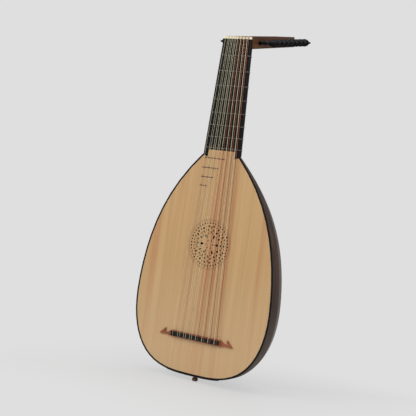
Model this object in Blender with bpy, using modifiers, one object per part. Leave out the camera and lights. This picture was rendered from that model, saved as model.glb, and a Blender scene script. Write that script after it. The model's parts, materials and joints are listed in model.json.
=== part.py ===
"""Renaissance lute with eight courses, modelled piece by piece at real size, in metres.

The lute stands upright: +Z runs along the strings towards the nut, the soundboard faces -Y
and the pegbox is bent back towards +Y. The origin is the centre of the end pin's flat face.
"""

import math

import bmesh
import bpy
import numpy as np

# Clearance between pieces that touch, and around a turning peg
TOUCH_GAP = 0.0003
PEG_CLEARANCE = 0.0004

# Strings: length from the bridge to the nut, and how they spread
STRING_LENGTH = 0.600
COURSE_COUNT = 8
BRIDGE_STRING_SPREAD = 0.107
NUT_STRING_SPREAD = 0.055
BRIDGE_PAIR_GAP = 0.0052
NUT_PAIR_GAP = 0.0032
STRING_HEIGHT_AT_BRIDGE = 0.0075
THINNEST_STRING_RADIUS = 0.00025
THICKEST_STRING_RADIUS = 0.00055

# Body outline, measured from the line where the strings meet the bridge
BODY_WIDTH = 0.324
WIDEST_HEIGHT = 0.067
TAIL_DROP = 0.083
LAST_FRET_TO_JOINT = 0.013
NECK_JOINT_WIDTH = 0.0870
TAIL_SQUARENESS = 3.15
TAIL_ROUNDNESS = 2.2
SHOULDER_POWER = 1.69
SHOULDER_DROOP = 0.49

# Bowl
BOWL_DEPTH = 0.154
RIB_COUNT = 9
EDGE_RIB_ANGLE = 13.0
RIB_THICKNESS = 0.0016
RIB_TIP_RADIUS = 0.022
RIB_STATIONS_BELOW = 9
RIB_STATIONS_ABOVE = 8

# Soundboard, its edging, bars and body frets
SOUNDBOARD_THICKNESS = 0.0017
EDGING_WIDTH = 0.0032
EDGING_PROUD = 0.0003
OUTLINE_POINTS_BELOW = 15
OUTLINE_POINTS_ABOVE = 11
BAR_HEIGHTS = (0.018, 0.062, 0.122, 0.245, 0.288)
BAR_THICKNESS = 0.005
BAR_DEPTH = 0.012
BODY_FRET_STARTS = (-0.0385, -0.0417, -0.0422, -0.0420)
BODY_FRET_LENGTHS = (0.0472, 0.0388, 0.0297, 0.0167)
BODY_FRET_WIDTH = 0.0014
BODY_FRET_HEIGHT = 0.0010
BODY_FRET_ROOT = 0.0005

# Rose: rings of piercings in the soundboard
ROSE_HEIGHT = 0.1836
ROSE_RADIUS = 0.0475
ROSE_SYMMETRY = 6

# Neck, fingerboard and nut
NECK_DEPTH_AT_BODY = 0.0265
NECK_DEPTH_AT_NUT = 0.0215
NUT_WIDTH = 0.067
NUT_LENGTH = 0.0048
NUT_PROUD = 0.0012
NUT_BEVEL = 0.0011
FINGERBOARD_THICKNESS = 0.0020
TONGUE_WIDTH = 0.0645
TONGUE_RISE = 0.009
POINT_TIP_DROP = 0.0055
POINT_TIP_INSET = 0.0012
POINT_SHOULDER_DROP = 0.002
NECK_SECTION_POINTS = 12
NECK_BLOCK_LENGTH = 0.058
NECK_BLOCK_CLEARANCE = 0.0012

# Tied frets
TIED_FRET_COUNT = 8
TIED_FRET_RADIUS = 0.00045
FRET_CLEARANCE = 0.00035
SEMITONES_PER_OCTAVE = 12

# Pegbox
PEGBOX_TILT = 11.3
LAST_PEG_TO_END = 0.022
PEGBOX_FRONT_DEPTH = 0.0240
PEGBOX_END_DEPTH = 0.0212
PEGBOX_END_WIDTH = 0.047
CHEEK_THICKNESS = 0.0046
PEGBOX_BACK_THICKNESS = 0.0035
FRONT_BLOCK_LENGTH = 0.010
FRONT_BLOCK_TOP_DROP = 0.0045
END_WALL_THICKNESS = 0.0055
HEADROOM_OVER_NUT = 0.0005
NECK_LAP_RELIEF = 0.0006
NECK_LAP_CLEARANCE = 0.002

# Pegs
PEG_PITCH = 0.019
FIRST_RIGHT_PEG = 0.029
LEFT_PEG_OFFSET = 1.5
PEG_COUNT_RIGHT = 8
PEG_COUNT_LEFT = 7
PEG_RADIUS = 0.0038
PEG_FOOT_RADIUS = 0.0032
PEG_FOOT_LENGTH = 0.002
PEG_NECK_LENGTH = 0.013
COLLAR_RADIUS = 0.0052
COLLAR_LENGTH = 0.004
WAIST_RADIUS = 0.0030
WAIST_LENGTH = 0.004
HEAD_LENGTH = 0.026
HEAD_WIDTH = 0.016
HEAD_THICKNESS = 0.0066
PIP_RADIUS = 0.0021
PIP_LENGTH = 0.0035
PEG_SIDES = 8
PEG_HOLE_SIDES = 12
STRING_OVER_PEG = 0.0007

# Bridge and its cap
BRIDGE_BODY_WIDTH = 0.122
BRIDGE_SPAN = 0.176
BRIDGE_DEPTH = 0.0125
BRIDGE_BODY_HEIGHT = 0.0058
WING_THICKNESS = 0.0028
WING_WIDTH = 0.0042
WING_DROP = 0.0085
HOOK_RISE = 0.0105
CAP_WIDTH = 0.117
CAP_DEPTH = 0.0086
CAP_THICKNESS = 0.0012

# Tail: end pin and end clasp
END_PIN_DROP = 0.0945
END_PIN_BEHIND_FACE = 0.0163
END_PIN_RADIUS = 0.0060
END_PIN_WAIST_RADIUS = 0.0042
END_PIN_STEM_RADIUS = 0.0030
END_PIN_STEM_INSIDE = 0.012
CLASP_HALF_LENGTH = 0.062
CLASP_DEPTH = 0.030
CLASP_TIP_DEPTH = 0.006
CLASP_SETBACK = 0.0026
CLASP_THICKNESS = 0.0012

# Places that follow from the sizes above
FACE_Y = -END_PIN_BEHIND_FACE
BRIDGE_LINE_Z = END_PIN_DROP
BOARD_BACK_Y = FACE_Y + SOUNDBOARD_THICKNESS
FINGERBOARD_BACK_Y = FACE_Y + FINGERBOARD_THICKNESS
NECK_FRONT_Y = FINGERBOARD_BACK_Y + TOUCH_GAP
NUT_Z = BRIDGE_LINE_Z + STRING_LENGTH
LAST_FRET_HEIGHT = STRING_LENGTH * 2 ** (-TIED_FRET_COUNT / SEMITONES_PER_OCTAVE)
NECK_JOINT_HEIGHT = LAST_FRET_HEIGHT - LAST_FRET_TO_JOINT
NECK_JOINT_Z = BRIDGE_LINE_Z + NECK_JOINT_HEIGHT
TONGUE_TOP_Z = NECK_JOINT_Z + TONGUE_RISE
PEGBOX_LENGTH = FIRST_RIGHT_PEG + PEG_PITCH * (PEG_COUNT_RIGHT - 1) + LAST_PEG_TO_END
FIRST_LEFT_PEG = FIRST_RIGHT_PEG + LEFT_PEG_OFFSET * PEG_PITCH
HALF_BODY = BODY_WIDTH / 2
HALF_JOINT = NECK_JOINT_WIDTH / 2
HALF_NUT = NUT_WIDTH / 2

LUTE_COLLECTION = "renaissance_lute"
CUTTER_COLLECTION = "cutters"


def clear_scene():
    for obj in list(bpy.data.objects):
        bpy.data.objects.remove(obj, do_unlink=True)


def make_collection(name):
    collection = bpy.data.collections.new(name)
    bpy.context.scene.collection.children.link(collection)
    return collection


clear_scene()
lute = make_collection(LUTE_COLLECTION)
cutters = make_collection(CUTTER_COLLECTION)


# Materials


def make_material(name, colour, roughness, metallic=0.0):
    material = bpy.data.materials.new(name)
    material.use_nodes = True
    shader = material.node_tree.nodes["Principled BSDF"]
    shader.inputs["Base Color"].default_value = (*colour, 1.0)
    shader.inputs["Roughness"].default_value = roughness
    shader.inputs["Metallic"].default_value = metallic
    return material


SPRUCE = make_material("spruce", (0.50, 0.33, 0.16), 0.45)
BLACK_EDGING = make_material("black_edging", (0.012, 0.012, 0.015), 0.4)
RIB_WALNUT = make_material("rib_walnut", (0.075, 0.035, 0.016), 0.3)
PALE_BLOCK = make_material("block_wood", (0.45, 0.32, 0.18), 0.6)
EBONY = make_material("ebony", (0.010, 0.010, 0.011), 0.35)
BONE = make_material("bone", (0.84, 0.76, 0.58), 0.35)
PEGBOX_WALNUT = make_material("pegbox_walnut", (0.10, 0.045, 0.018), 0.4)
BRIDGE_PEARWOOD = make_material("bridge_pearwood", (0.33, 0.10, 0.04), 0.4)
PEG_EBONY = make_material("peg_ebony", (0.013, 0.013, 0.015), 0.3)
PIN_WOOD = make_material("pin_wood", (0.18, 0.09, 0.05), 0.4)
GUT = make_material("gut", (0.62, 0.58, 0.44), 0.35)
COPPER_WOUND = make_material("copper_wound", (0.50, 0.22, 0.14), 0.35, 0.8)
FRET_GUT = make_material("fret_gut", (0.45, 0.42, 0.33), 0.4)


# Helpers that turn outlines, rings and grids into pieces


def finish_piece(obj, material, collection=None):
    """Gives a piece its material, puts it in the lute's collection and shades round faces smooth."""
    target = collection or lute
    for other in list(obj.users_collection):
        other.objects.unlink(obj)
    target.objects.link(obj)
    obj.data.materials.clear()
    obj.data.materials.append(material)
    if obj.type == "MESH":
        obj.data.shade_smooth()
        obj.data.set_sharp_from_angle(angle=math.radians(35))
    return obj


def make_cutter(obj):
    for other in list(obj.users_collection):
        other.objects.unlink(obj)
    cutters.objects.link(obj)
    obj.hide_render = True
    obj.display_type = "WIRE"
    return obj


def mesh_piece(name, points, faces):
    """A new mesh object whose faces are turned outwards."""
    mesh = bpy.data.meshes.new(name)
    mesh.from_pydata([tuple(point) for point in points], [], faces)
    shape = bmesh.new()
    shape.from_mesh(mesh)
    bmesh.ops.recalc_face_normals(shape, faces=shape.faces)
    shape.to_mesh(mesh)
    shape.free()
    return bpy.data.objects.new(name, mesh)


def loft(name, rings):
    """A closed solid through rings of equally many points, with a flat cap on each end."""
    rings = np.asarray(rings, float)
    ring_count, side_count = rings.shape[:2]
    faces = []
    for ring in range(ring_count - 1):
        for side in range(side_count):
            following = (side + 1) % side_count
            low = ring * side_count
            high = low + side_count
            faces.append((low + side, low + following, high + following, high + side))
    faces.append(tuple(range(side_count)))
    last = (ring_count - 1) * side_count
    faces.append(tuple(range(last, last + side_count)))
    return mesh_piece(name, rings.reshape(-1, 3), faces)


def flat_plate(name, outlines, front_y, back_y):
    """A plate between two Y planes from closed outlines in X and Z; inner outlines are holes."""
    curve = bpy.data.curves.new(name + "_outline", "CURVE")
    curve.dimensions = "2D"
    curve.fill_mode = "BOTH"
    curve.extrude = (back_y - front_y) / 2
    for outline in outlines:
        spline = curve.splines.new("POLY")
        spline.points.add(len(outline) - 1)
        for point, (x, z) in zip(spline.points, outline):
            point.co = (x, z, 0, 1)
        spline.use_cyclic_u = True
    drawn = bpy.data.objects.new(name + "_drawn", curve)
    drawn.rotation_euler = (math.pi / 2, 0, 0)
    drawn.location = (0, (front_y + back_y) / 2, 0)
    bpy.context.scene.collection.objects.link(drawn)
    return mesh_from_curve(name, drawn)


def mesh_from_curve(name, drawn):
    """Turns a curve object into a welded mesh object at the same place, and removes the curve."""
    bpy.context.view_layer.update()
    graph = bpy.context.evaluated_depsgraph_get()
    mesh = bpy.data.meshes.new_from_object(drawn.evaluated_get(graph))
    mesh.name = name
    shape = bmesh.new()
    shape.from_mesh(mesh)
    bmesh.ops.remove_doubles(shape, verts=shape.verts, dist=0.000002)
    bmesh.ops.transform(shape, matrix=drawn.matrix_world, verts=shape.verts)
    bmesh.ops.recalc_face_normals(shape, faces=shape.faces)
    shape.to_mesh(mesh)
    shape.free()
    bpy.data.objects.remove(drawn, do_unlink=True)
    return bpy.data.objects.new(name, mesh)


def box(name, low, high):
    """A box between two corners, from the cube primitive."""
    low = np.asarray(low, float)
    high = np.asarray(high, float)
    mesh = bpy.data.meshes.new(name)
    shape = bmesh.new()
    bmesh.ops.create_cube(shape, size=1.0)
    bmesh.ops.scale(shape, vec=tuple(high - low), verts=shape.verts)
    bmesh.ops.translate(shape, vec=tuple((high + low) / 2), verts=shape.verts)
    shape.to_mesh(mesh)
    shape.free()
    return bpy.data.objects.new(name, mesh)


def add_boolean(obj, other, operation):
    modifier = obj.modifiers.new(other.name, "BOOLEAN")
    modifier.operation = operation
    modifier.object = other
    return modifier


def tube(name, points, radius, bevel_resolution=0, cyclic=False):
    """A round wire along points: a curve with a bevel and filled caps."""
    curve = bpy.data.curves.new(name, "CURVE")
    curve.dimensions = "3D"
    curve.bevel_depth = radius
    curve.bevel_resolution = bevel_resolution
    curve.use_fill_caps = not cyclic
    spline = curve.splines.new("POLY")
    spline.points.add(len(points) - 1)
    for spline_point, point in zip(spline.points, points):
        spline_point.co = (*point, 1)
    spline.use_cyclic_u = cyclic
    return bpy.data.objects.new(name, curve)


def turned(name, profile, sides):
    """A piece turned about Z from (radius, z) points that run down its outer side, top to bottom."""
    mesh = bpy.data.meshes.new(name)
    points = [(radius, 0, z) for radius, z in profile]
    edges = [(i, i + 1) for i in range(len(points) - 1)]
    mesh.from_pydata(points, edges, [])
    obj = bpy.data.objects.new(name, mesh)
    screw = obj.modifiers.new("turning", "SCREW")
    screw.axis = "Z"
    screw.steps = sides
    screw.render_steps = sides
    screw.use_merge_vertices = True
    screw.merge_threshold = 0.000001
    return obj


# The body's outline and the bowl's surface


def lower_outline(turn):
    """Half width and Z below the widest line, for turn 0 at the tail to 1 at the widest line.

    It is a quarter of a superellipse: squarer across the tail than an ellipse.
    """
    angle = np.asarray(turn, float) * math.pi / 2
    half_width = HALF_BODY * np.sin(angle) ** (2 / TAIL_SQUARENESS)
    below = (WIDEST_HEIGHT + TAIL_DROP) * np.cos(angle) ** (2 / TAIL_ROUNDNESS)
    return half_width, BRIDGE_LINE_Z + WIDEST_HEIGHT - below


def upper_outline(share):
    """Half width and Z above the widest line, for share 0 there to 1 at the neck joint."""
    share = np.asarray(share, float)
    bend = share**SHOULDER_POWER
    fall = (1 - SHOULDER_DROOP) * bend + SHOULDER_DROOP * bend**2
    half_width = HALF_BODY - (HALF_BODY - HALF_JOINT) * fall
    rise = (NECK_JOINT_HEIGHT - WIDEST_HEIGHT) * share
    return half_width, BRIDGE_LINE_Z + WIDEST_HEIGHT + rise


def half_outline(first_turn, count_below, count_above):
    """Half widths and Z up one side, from a turn near the tail to the neck joint."""
    low_x, low_z = lower_outline(np.linspace(first_turn, 1, count_below))
    high_x, high_z = upper_outline(np.linspace(0, 1, count_above)[1:])
    return np.concatenate([low_x, high_x]), np.concatenate([low_z, high_z])


def bowl_ratio(z):
    """Bowl depth over half width: constant over the body, flatter where it meets the neck."""
    body = BOWL_DEPTH / HALF_BODY
    joint = NECK_DEPTH_AT_BODY / HALF_JOINT
    share = (z - BRIDGE_LINE_Z - WIDEST_HEIGHT) / (NECK_JOINT_HEIGHT - WIDEST_HEIGHT)
    return body - (body - joint) * np.clip(share, 0, 1) ** 4


def tail_turn(half_width):
    """The turn at which the lower outline has this half width."""
    return math.asin((half_width / HALF_BODY) ** (TAIL_SQUARENESS / 2)) * 2 / math.pi


def tail_z(distance):
    """Z of the bowl's outside near the tail, this far from the tail's middle."""
    share = (np.asarray(distance, float) / HALF_BODY) ** TAIL_SQUARENESS
    below = (WIDEST_HEIGHT + TAIL_DROP) * (1 - share) ** (1 / TAIL_ROUNDNESS)
    return BRIDGE_LINE_Z + WIDEST_HEIGHT - below


def outline_at_z(z):
    """Half width of the body at this Z."""
    half_widths, heights = half_outline(0, 60, 60)
    return float(np.interp(z, heights, half_widths))


def offset_outline(distance, count_below, count_above):
    """The outline of one side moved inwards by a distance, from the tail's middle up."""
    x, z = half_outline(0, count_below, count_above)
    fine_x, fine_z = half_outline(0, 400, 400)
    run = np.gradient(fine_x)
    rise = np.gradient(fine_z)
    length = np.hypot(run, rise)
    across = np.interp(z, fine_z, rise / length)
    down = np.interp(z, fine_z, -run / length)
    across[0] = 0
    down[0] = -1
    return np.stack([x - across * distance, z - down * distance], axis=1)


RIB_ANGLES = np.radians(
    np.concatenate([[0], np.linspace(EDGE_RIB_ANGLE, 180 - EDGE_RIB_ANGLE, RIB_COUNT - 1), [180]])
)


def bowl_rings(angle, inwards=0.0, first_half_width=RIB_TIP_RADIUS):
    """Points up the bowl along one meridian, moved inwards along the surface's normal."""
    counts = (RIB_STATIONS_BELOW, RIB_STATIONS_ABOVE)
    half_width, z = half_outline(tail_turn(first_half_width), *counts)

    def surface(at_angle, at_width, at_z):
        depth = bowl_ratio(at_z) * at_width * np.sin(at_angle)
        return np.stack([at_width * np.cos(at_angle), FACE_Y + depth, at_z], axis=1)

    points = surface(angle, half_width, z)
    around = surface(angle + 0.01, half_width, z) - surface(angle - 0.01, half_width, z)
    along = np.gradient(points, axis=0)
    normal = np.cross(along, around)
    normal /= np.linalg.norm(normal, axis=1)[:, None]
    outward = points - np.array([0, FACE_Y, NECK_JOINT_Z - NECK_JOINT_HEIGHT / 2])
    normal *= np.sign((normal * outward).sum(axis=1))[:, None]
    return points - inwards * normal


# Bowl ribs


def trimmed(one, other, setback):
    """Points of one edge moved towards the other edge, so that neighbours keep a gap."""
    across = other - one
    length = np.linalg.norm(across, axis=1)[:, None]
    return one + across * setback / length


def trimmed_to_board(one, other):
    """Points of a side edge moved across the rib until they clear the soundboard's back."""
    share = (BOARD_BACK_Y + TOUCH_GAP - one[:, 1]) / (other[:, 1] - one[:, 1])
    return one + (other - one) * share[:, None]


def make_rib(number):
    corners = []
    for inwards in (0.0, RIB_THICKNESS):
        low = bowl_rings(RIB_ANGLES[number], inwards)
        high = bowl_rings(RIB_ANGLES[number + 1], inwards)
        if number == 0:
            low_edge = trimmed_to_board(low, high)
        else:
            low_edge = trimmed(low, high, TOUCH_GAP / 2)
        if number == RIB_COUNT - 1:
            high_edge = trimmed_to_board(high, low)
        else:
            high_edge = trimmed(high, low, TOUCH_GAP / 2)
        corners += [low_edge, high_edge]
    outer_low, outer_high, inner_low, inner_high = corners
    rings = np.stack([outer_low, outer_high, inner_high, inner_low], axis=1)
    return finish_piece(loft(f"rib_{number + 1}", rings), RIB_WALNUT)


ribs = [make_rib(number) for number in range(RIB_COUNT)]


# End pin, turned, with its face at the origin, and the hole it sits in


def make_end_pin():
    seat_z = float(tail_z(END_PIN_BEHIND_FACE / bowl_ratio(0))) - CLASP_THICKNESS - 2 * TOUCH_GAP
    profile = [
        (0, seat_z + END_PIN_STEM_INSIDE),
        (END_PIN_STEM_RADIUS, seat_z + END_PIN_STEM_INSIDE),
        (END_PIN_STEM_RADIUS, seat_z),
        (END_PIN_WAIST_RADIUS, seat_z),
        (END_PIN_WAIST_RADIUS, seat_z * 0.72),
        (END_PIN_RADIUS, seat_z * 0.5),
        (END_PIN_RADIUS, seat_z * 0.16),
        (END_PIN_RADIUS * 0.8, 0),
        (0, 0),
    ]
    pin = turned("end_pin", profile, 14)
    mesh_pin = finish_piece(pin, PIN_WOOD)
    hole_top = seat_z + 2 * END_PIN_STEM_INSIDE
    hole = turned(
        "end_pin_hole",
        [
            (0, hole_top),
            (END_PIN_STEM_RADIUS + TOUCH_GAP, hole_top),
            (END_PIN_STEM_RADIUS + TOUCH_GAP, seat_z - TOUCH_GAP),
            (0, seat_z - TOUCH_GAP),
        ],
        10,
    )
    return mesh_pin, make_cutter(hole)


end_pin, end_pin_hole = make_end_pin()


# End clasp: a thin strip laid over the ribs' ends at the tail


def make_end_clasp():
    columns = np.linspace(-1, 1, 15)
    rows = np.linspace(0, 1, 5)
    points = []
    for column in columns:
        depth = CLASP_TIP_DEPTH + (CLASP_DEPTH - CLASP_TIP_DEPTH) * (1 - column**2)
        for row in rows:
            x = column * CLASP_HALF_LENGTH
            behind = CLASP_SETBACK + row * depth
            distance = math.hypot(x, behind / float(bowl_ratio(0)))
            points.append((x, FACE_Y + behind, float(tail_z(distance)) - TOUCH_GAP))
    faces = []
    for column in range(len(columns) - 1):
        for row in range(len(rows) - 1):
            corner = column * len(rows) + row
            beside = corner + len(rows)
            faces.append((corner, corner + 1, beside + 1, beside))
    mesh = bpy.data.meshes.new("end_clasp")
    mesh.from_pydata(points, [], faces)
    clasp = bpy.data.objects.new("end_clasp", mesh)
    thickness = clasp.modifiers.new("thickness", "SOLIDIFY")
    thickness.thickness = CLASP_THICKNESS
    thickness.offset = 1
    add_boolean(clasp, end_pin_hole, "DIFFERENCE")
    return finish_piece(clasp, RIB_WALNUT)


end_clasp = make_end_clasp()


# Neck block inside the top of the bowl


def make_neck_block():
    angles = RIB_ANGLES.copy()
    inset = RIB_THICKNESS + NECK_BLOCK_CLEARANCE
    rings = []
    base_z = NECK_JOINT_Z - NECK_BLOCK_LENGTH
    for angle in angles:
        meridian = bowl_rings(angle, inset)
        heights = np.linspace(base_z, NECK_JOINT_Z - TOUCH_GAP / 2, 4)
        x = np.interp(heights, meridian[:, 2], meridian[:, 0])
        y = np.interp(heights, meridian[:, 2], meridian[:, 1])
        rings.append(np.stack([x, y, heights], axis=1))
    rings = np.stack(rings, axis=1)
    front = BOARD_BACK_Y + TOUCH_GAP
    for end, beside in ((0, 1), (-1, -2)):
        share = (front - rings[:, end, 1]) / (rings[:, beside, 1] - rings[:, end, 1])
        step = (rings[:, beside] - rings[:, end]) * share[:, None]
        rings[:, end] += step
    return finish_piece(loft("neck_block", rings), PALE_BLOCK)


neck_block = make_neck_block()


# Soundboard with its pierced rose, bars and body frets


def regular_hole(radius, angle, half_size, corners, spin=0.0):
    """A small hole with a few corners, at a polar place in the rose and turned with it."""
    middle = np.array([math.sin(angle), math.cos(angle)]) * radius
    turns = angle + spin + np.arange(corners) * 2 * math.pi / corners
    corner_points = np.stack([np.sin(turns), np.cos(turns)], axis=1) * half_size
    return middle + corner_points


def leaf_hole(radius, angle, length, width):
    """A pointed opening that widens outwards, along a spoke of the rose."""
    outline = [(-0.5, 0.0), (-0.05, 0.32), (0.3, 0.5), (0.5, 0.0), (0.3, -0.5), (-0.05, -0.32)]
    along = np.array([math.sin(angle), math.cos(angle)])
    across = np.array([along[1], -along[0]])
    points = [
        along * (radius + share * length) + across * side * width for share, side in outline
    ]
    return np.array(points)


def rose_holes():
    """Outlines of all piercings, as shares of the rose's radius, repeated by its symmetry."""
    spoke = 2 * math.pi / ROSE_SYMMETRY
    size = ROSE_RADIUS
    holes = []
    rim_count = 7 * ROSE_SYMMETRY
    for index in range(rim_count):
        angle = 2 * math.pi * (index + 0.5) / rim_count
        holes.append(regular_hole(size * 0.91, angle, size * 0.046, 4, math.pi / 4))
    for repeat in range(ROSE_SYMMETRY):
        along = (repeat + 0.5) * spoke
        between = along + spoke / 2
        holes.append(leaf_hole(size * 0.36, along, size * 0.20, size * 0.13))
        holes.append(leaf_hole(size * 0.56, along, size * 0.13, size * 0.10))
        holes.append(regular_hole(size * 0.745, along, size * 0.058, 4))
        holes.append(leaf_hole(size * 0.50, between, size * 0.14, size * 0.11))
        holes.append(leaf_hole(size * 0.70, between, size * 0.17, size * 0.09))
        for side in (-1, 1):
            holes.append(regular_hole(size * 0.47, along + side * 0.26, size * 0.042, 3, math.pi))
            holes.append(regular_hole(size * 0.615, along + side * 0.29, size * 0.050, 4))
            holes.append(regular_hole(size * 0.77, along + side * 0.17, size * 0.048, 3))
            holes.append(regular_hole(size * 0.775, along + side * 0.36, size * 0.050, 4))
            holes.append(regular_hole(size * 0.64, along + side * 0.12, size * 0.040, 3, math.pi))
        holes.append(regular_hole(size * 0.17, along, size * 0.040, 4))
    middle = np.array([0, BRIDGE_LINE_Z + ROSE_HEIGHT])
    return [hole + middle for hole in holes]


POINT_TIP_X = TONGUE_WIDTH / 2 + POINT_TIP_INSET
POINT_TIP_Z = NECK_JOINT_Z - POINT_TIP_DROP
POINT_SHOULDER_Z = NECK_JOINT_Z - POINT_SHOULDER_DROP


def point_edge_z(x):
    """Z of the slanting outer edge of the fingerboard's points at this distance from the middle."""
    share = (x - POINT_TIP_X) / (HALF_JOINT - POINT_TIP_X)
    return np.minimum(POINT_TIP_Z + (POINT_SHOULDER_Z - POINT_TIP_Z) * share, POINT_SHOULDER_Z)


def cut_below_point(line):
    """A side line's lower part, ended just short of the fingerboard's point."""
    upper = line[line[:, 1] > BRIDGE_LINE_Z + WIDEST_HEIGHT]
    over = upper[:, 1] - point_edge_z(upper[:, 0]) + 2 * TOUCH_GAP
    end = np.array([np.interp(0, over, upper[:, 0]), np.interp(0, over, upper[:, 1])])
    kept = line[line[:, 1] < end[1] - 0.004]
    return np.concatenate([kept, [end]])


def board_outline():
    """The soundboard's edge: inside the edging, then round the fingerboard's points."""
    inset = EDGING_WIDTH + TOUCH_GAP
    right = cut_below_point(offset_outline(inset, OUTLINE_POINTS_BELOW, OUTLINE_POINTS_ABOVE))
    tongue_x = TONGUE_WIDTH / 2 - TOUCH_GAP
    tip_z = POINT_TIP_Z - 2 * TOUCH_GAP
    top = [
        (POINT_TIP_X, tip_z),
        (tongue_x, tip_z),
        (tongue_x, TONGUE_TOP_Z - TOUCH_GAP),
    ]
    right = np.concatenate([right, top])
    left = right[:0:-1] * np.array([-1, 1])
    return np.concatenate([right, left])


def fret_height(number):
    """Height of a fret over the bridge line: each semitone shortens the string alike."""
    return STRING_LENGTH * 2 ** (-number / SEMITONES_PER_OCTAVE)


def make_soundboard():
    board = flat_plate("soundboard", [board_outline(), *rose_holes()], FACE_Y, BOARD_BACK_Y)
    for number, height in enumerate(BAR_HEIGHTS):
        z = BRIDGE_LINE_Z + height
        clear = bar_reach(z)
        bar = box(
            f"bar_{number + 1}",
            (-clear, BOARD_BACK_Y - SOUNDBOARD_THICKNESS / 2, z - BAR_THICKNESS / 2),
            (clear, BOARD_BACK_Y + BAR_DEPTH, z + BAR_THICKNESS / 2),
        )
        add_boolean(board, make_cutter(bar), "UNION")
    for number, (start, length) in enumerate(zip(BODY_FRET_STARTS, BODY_FRET_LENGTHS)):
        z = BRIDGE_LINE_Z + fret_height(TIED_FRET_COUNT + 1 + number)
        slip = box(
            f"body_fret_{number + 1}",
            (start, FACE_Y - BODY_FRET_HEIGHT, z - BODY_FRET_WIDTH / 2),
            (start + length, FACE_Y + BODY_FRET_ROOT, z + BODY_FRET_WIDTH / 2),
        )
        add_boolean(board, make_cutter(slip), "UNION")
    return finish_piece(board, SPRUCE)


def bar_reach(z):
    """How far a bar may reach to each side and stay clear of the ribs' inner faces."""
    narrow_z = z + math.copysign(BAR_THICKNESS / 2, z - BRIDGE_LINE_Z - WIDEST_HEIGHT)
    share = (SOUNDBOARD_THICKNESS + BAR_DEPTH) / (outline_at_z(narrow_z) * float(bowl_ratio(z)))
    across = math.sqrt(1 - share**2)
    chord_loss = 1 - math.cos(math.radians(EDGE_RIB_ANGLE) / 2)
    return outline_at_z(narrow_z) * (across - chord_loss) - 2.2 * RIB_THICKNESS


soundboard = make_soundboard()


# Edging round the soundboard


def make_edging():
    counts = (OUTLINE_POINTS_BELOW, OUTLINE_POINTS_ABOVE)
    outer = cut_below_point(offset_outline(0, *counts))
    inner = cut_below_point(offset_outline(EDGING_WIDTH, *counts))
    flip = np.array([-1, 1])
    outline = np.concatenate([outer, inner[::-1], inner[1:] * flip, outer[:0:-1] * flip])
    edging = flat_plate("soundboard_edging", [outline], FACE_Y - EDGING_PROUD, BOARD_BACK_Y)
    return finish_piece(edging, BLACK_EDGING)


edging = make_edging()


# Neck and fingerboard


def neck_share(z):
    """0 at the body joint, 1 at the nut."""
    return (z - NECK_JOINT_Z) / (NUT_Z - NECK_JOINT_Z)


def neck_half_width(z):
    return HALF_JOINT + (HALF_NUT - HALF_JOINT) * neck_share(z)


def neck_depth(z):
    """Depth of the whole neck, fingerboard included."""
    return NECK_DEPTH_AT_BODY + (NECK_DEPTH_AT_NUT - NECK_DEPTH_AT_BODY) * neck_share(z)


TILT = math.radians(PEGBOX_TILT)
PEGBOX_FRONT_Y = FINGERBOARD_BACK_Y + TOUCH_GAP
PEGBOX_TOP_Z = NUT_Z + NUT_LENGTH + HEADROOM_OVER_NUT
PEGBOX_TAPER = (PEGBOX_FRONT_DEPTH - PEGBOX_END_DEPTH) / PEGBOX_LENGTH


def pegbox_point(x, along, up):
    """A point of the pegbox: along it from its front, and up from its open edge."""
    y = PEGBOX_FRONT_Y + along * math.cos(TILT) - up * math.sin(TILT)
    z = PEGBOX_TOP_Z + along * math.sin(TILT) + up * math.cos(TILT)
    return (x, y, z)


def pegbox_depth(along):
    return PEGBOX_FRONT_DEPTH - PEGBOX_TAPER * along


def pegbox_half_width(along):
    share = along / PEGBOX_LENGTH
    return HALF_NUT + (PEGBOX_END_WIDTH / 2 - HALF_NUT) * share


def pegbox_underside_z(y):
    """Z of the pegbox's underside at this Y, for the neck's slanting end."""
    start = pegbox_point(0, 0, -pegbox_depth(0))
    end = pegbox_point(0, PEGBOX_LENGTH, -pegbox_depth(PEGBOX_LENGTH))
    slope = (end[2] - start[2]) / (end[1] - start[1])
    return start[2] + (y - start[1]) * slope


def neck_section(z, slanted=False):
    """Half an ellipse behind the fingerboard; a slanted one lies under the pegbox."""
    angles = np.linspace(0, math.pi, NECK_SECTION_POINTS)
    half_width = neck_half_width(z)
    depth = neck_depth(z) - FINGERBOARD_THICKNESS - TOUCH_GAP
    x = half_width * np.cos(angles)
    y = NECK_FRONT_Y + depth * np.sin(angles)
    if slanted:
        heights = pegbox_underside_z(y) - TOUCH_GAP
    else:
        heights = np.full_like(x, z)
    return np.stack([x, y, heights], axis=1)


def make_neck():
    top_z = pegbox_underside_z(NECK_FRONT_Y)
    rings = [neck_section(NECK_JOINT_Z + TOUCH_GAP / 2), neck_section(top_z, slanted=True)]
    return finish_piece(loft("neck", rings), EBONY)


neck = make_neck()


def make_fingerboard():
    top_z = NUT_Z - TOUCH_GAP
    half_top = neck_half_width(top_z)
    right = [
        (half_top, top_z),
        (HALF_JOINT, NECK_JOINT_Z),
        (HALF_JOINT, POINT_SHOULDER_Z),
        (POINT_TIP_X, POINT_TIP_Z),
        (TONGUE_WIDTH / 2, POINT_TIP_Z),
        (TONGUE_WIDTH / 2, TONGUE_TOP_Z),
    ]
    left = [(-x, z) for x, z in reversed(right)]
    plate = flat_plate("fingerboard", [right + left], FACE_Y, FINGERBOARD_BACK_Y)
    return finish_piece(plate, EBONY)


fingerboard = make_fingerboard()


# Nut, with its front edge rounded off for the strings


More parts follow.
